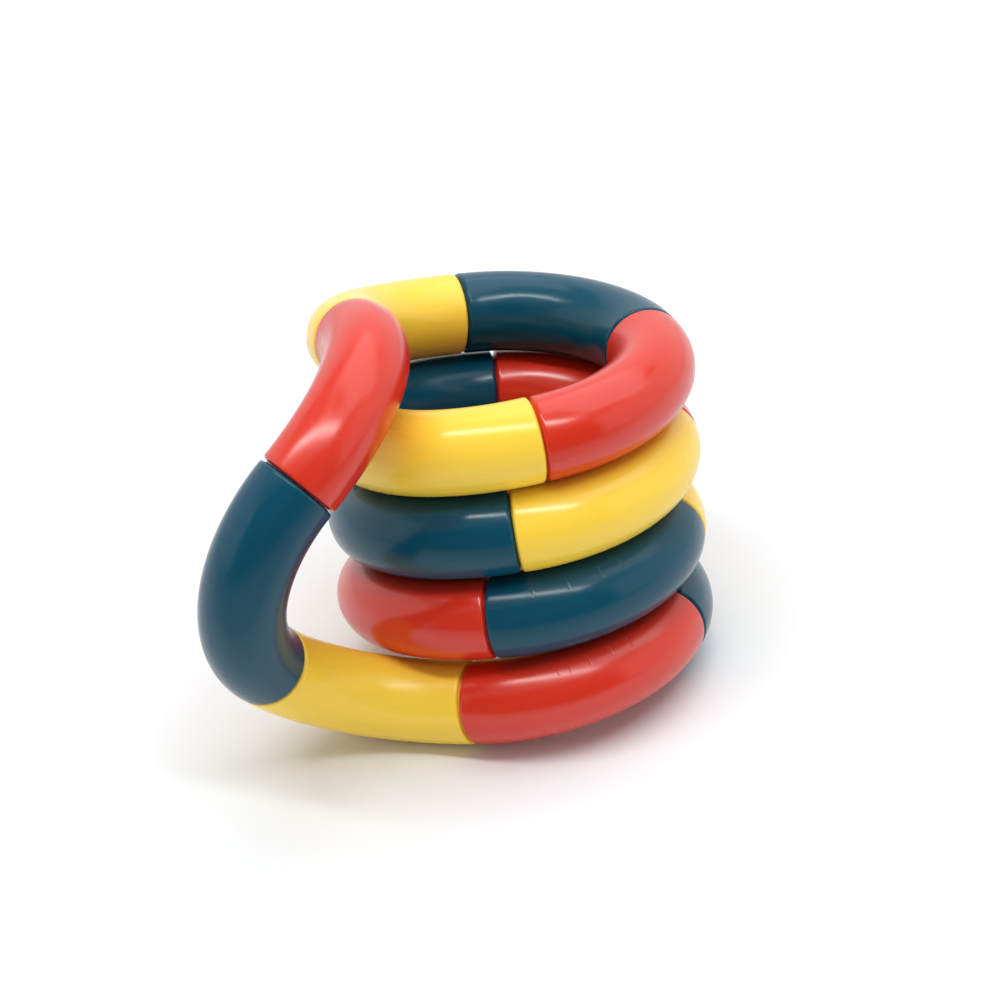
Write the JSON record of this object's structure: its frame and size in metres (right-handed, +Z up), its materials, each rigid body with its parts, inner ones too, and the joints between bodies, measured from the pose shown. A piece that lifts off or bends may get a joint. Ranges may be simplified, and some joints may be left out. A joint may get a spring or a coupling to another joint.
{
  "type": "fidget tube toy",
  "caption": "Fidget toy: a closed loop of glossy, hollow quarter-bend tubes that turn on each other at snap pivots, coiled in layers with a raised loop at one side.",
  "frame": {"origin": "on the floor, under the middle of the toy's bounding box", "axes": "+Z up, +Y away from the front, where the coil's lowest link swings out, and +X to the right, away from the raised loop"},
  "size_m": [0.075, 0.0773, 0.0662],
  "materials": {
    "yellow": "gloss",
    "blue": "gloss",
    "red": "gloss",
    "pin": "as moulded"
  },
  "bodies": {
    "section_01": {"link_01": "yellow", "pin_01": "pin"},
    "section_02": {"link_02": "blue", "pin_02": "pin"},
    "section_03": {"link_03": "red", "pin_03": "pin"},
    "section_04": {"link_04": "yellow", "pin_04": "pin"},
    "section_05": {"link_05": "blue", "pin_05": "pin"},
    "section_06": {"link_06": "red", "pin_06": "pin"},
    "section_07": {"link_07": "yellow", "pin_07": "pin"},
    "section_08": {"link_08": "blue", "pin_08": "pin"},
    "section_09": {"link_09": "red", "pin_09": "pin"},
    "section_10": {"link_10": "yellow", "pin_10": "pin"},
    "section_11": {"link_11": "blue", "pin_11": "pin"},
    "section_12": {"link_12": "red", "pin_12": "pin"},
    "section_13": {"link_13": "yellow", "pin_13": "pin"},
    "section_14": {"link_14": "blue", "pin_14": "pin"},
    "section_15": {"link_15": "red", "pin_15": "pin"},
    "section_16": {"link_16": "yellow", "pin_16": "pin"},
    "section_17": {"link_17": "blue", "pin_17": "pin"},
    "section_18": {"link_18": "red", "pin_18": "pin"}
  },
  "joints": [
    {"name": "pivot_01", "type": "hinge", "parent": "section_02", "child": "section_01", "pos_m": [0.00028, 0.03107, 0.04583], "axis": [-0.9492, -0.2954, 0.1089], "range_deg": [0, 180]},
    {"name": "pivot_02", "type": "hinge", "parent": "section_03", "child": "section_02", "pos_m": [0.02919, 0.01536, 0.04627], "axis": [-0.2655, 0.9556, -0.1276], "range_deg": [0, 180]},
    {"name": "pivot_03", "type": "hinge", "parent": "section_04", "child": "section_03", "pos_m": [0.01238, -0.01286, 0.04812], "axis": [0.9718, 0.2305, 0.0497], "range_deg": [0, 180]},
    {"name": "pivot_04", "type": "hinge", "parent": "section_05", "child": "section_04", "pos_m": [-0.01469, 0.00423, 0.04055], "axis": [0.1659, -0.9488, 0.2687], "range_deg": [0, 180]},
    {"name": "pivot_05", "type": "hinge", "parent": "section_06", "child": "section_05", "pos_m": [0.00496, 0.02936, 0.0325], "axis": [-0.9918, -0.1071, 0.0697], "range_deg": [0, 180]},
    {"name": "pivot_06", "type": "hinge", "parent": "section_07", "child": "section_06", "pos_m": [0.03026, 0.00837, 0.03392], "axis": [-0.0714, 0.989, -0.1295], "range_deg": [0, 180]},
    {"name": "pivot_07", "type": "hinge", "parent": "section_08", "child": "section_07", "pos_m": [0.00828, -0.01608, 0.03488], "axis": [0.9953, 0.0389, 0.0891], "range_deg": [0, 180]},
    {"name": "pivot_08", "type": "hinge", "parent": "section_09", "child": "section_08", "pos_m": [-0.01467, 0.00591, 0.02641], "axis": [-0.0306, -0.9633, 0.2668], "range_deg": [0, 180]},
    {"name": "pivot_09", "type": "hinge", "parent": "section_10", "child": "section_09", "pos_m": [0.00975, 0.02679, 0.01934], "axis": [-0.9958, 0.0859, 0.0306], "range_deg": [0, 180]},
    {"name": "pivot_10", "type": "hinge", "parent": "section_11", "child": "section_10", "pos_m": [0.03046, 0.00132, 0.02156], "axis": [0.1254, 0.9844, -0.1237], "range_deg": [0, 180]},
    {"name": "pivot_11", "type": "hinge", "parent": "section_12", "child": "section_11", "pos_m": [0.00416, -0.01844, 0.02146], "axis": [0.9798, -0.1536, 0.1277], "range_deg": [0, 180]},
    {"name": "pivot_12", "type": "hinge", "parent": "section_13", "child": "section_12", "pos_m": [-0.01378, 0.00757, 0.01231], "axis": [-0.2258, -0.9396, 0.2572], "range_deg": [0, 180]},
    {"name": "pivot_13", "type": "hinge", "parent": "section_14", "child": "section_13", "pos_m": [0.01446, 0.02336, 0.00636], "axis": [-0.9611, 0.276, -0.0071], "range_deg": [0, 180]},
    {"name": "pivot_14", "type": "hinge", "parent": "section_15", "child": "section_14", "pos_m": [0.02978, -0.00562, 0.00915], "axis": [0.3172, 0.9419, -0.1104], "range_deg": [0, 180]},
    {"name": "pivot_15", "type": "hinge", "parent": "section_15", "child": "section_16", "pos_m": [0.00031, -0.02008, 0.00708], "axis": [0.9216, -0.3341, 0.1976], "range_deg": [0, 180]},
    {"name": "pivot_16", "type": "hinge", "parent": "section_16", "child": "section_17", "pos_m": [-0.02926, -0.02572, 0.02035], "axis": [0.3211, 0.5711, -0.7555], "range_deg": [0, 180]},
    {"name": "pivot_18", "type": "hinge", "parent": "section_01", "child": "section_18", "pos_m": [-0.01383, 0.00361, 0.05719], "axis": [0.356, -0.8587, 0.3686], "range_deg": [0, 180]}
  ],
  "couplings": [
    {"joint": "pivot_18", "follows": "pivot_01", "ratio": 1},
    {"joint": "pivot_03", "follows": "pivot_02", "ratio": 1},
    {"joint": "pivot_04", "follows": "pivot_05", "ratio": 1},
    {"joint": "pivot_07", "follows": "pivot_06", "ratio": 1},
    {"joint": "pivot_08", "follows": "pivot_09", "ratio": 1},
    {"joint": "pivot_11", "follows": "pivot_10", "ratio": 1},
    {"joint": "pivot_12", "follows": "pivot_13", "ratio": 1},
    {"joint": "pivot_16", "follows": "pivot_15", "ratio": 1}
  ]
}
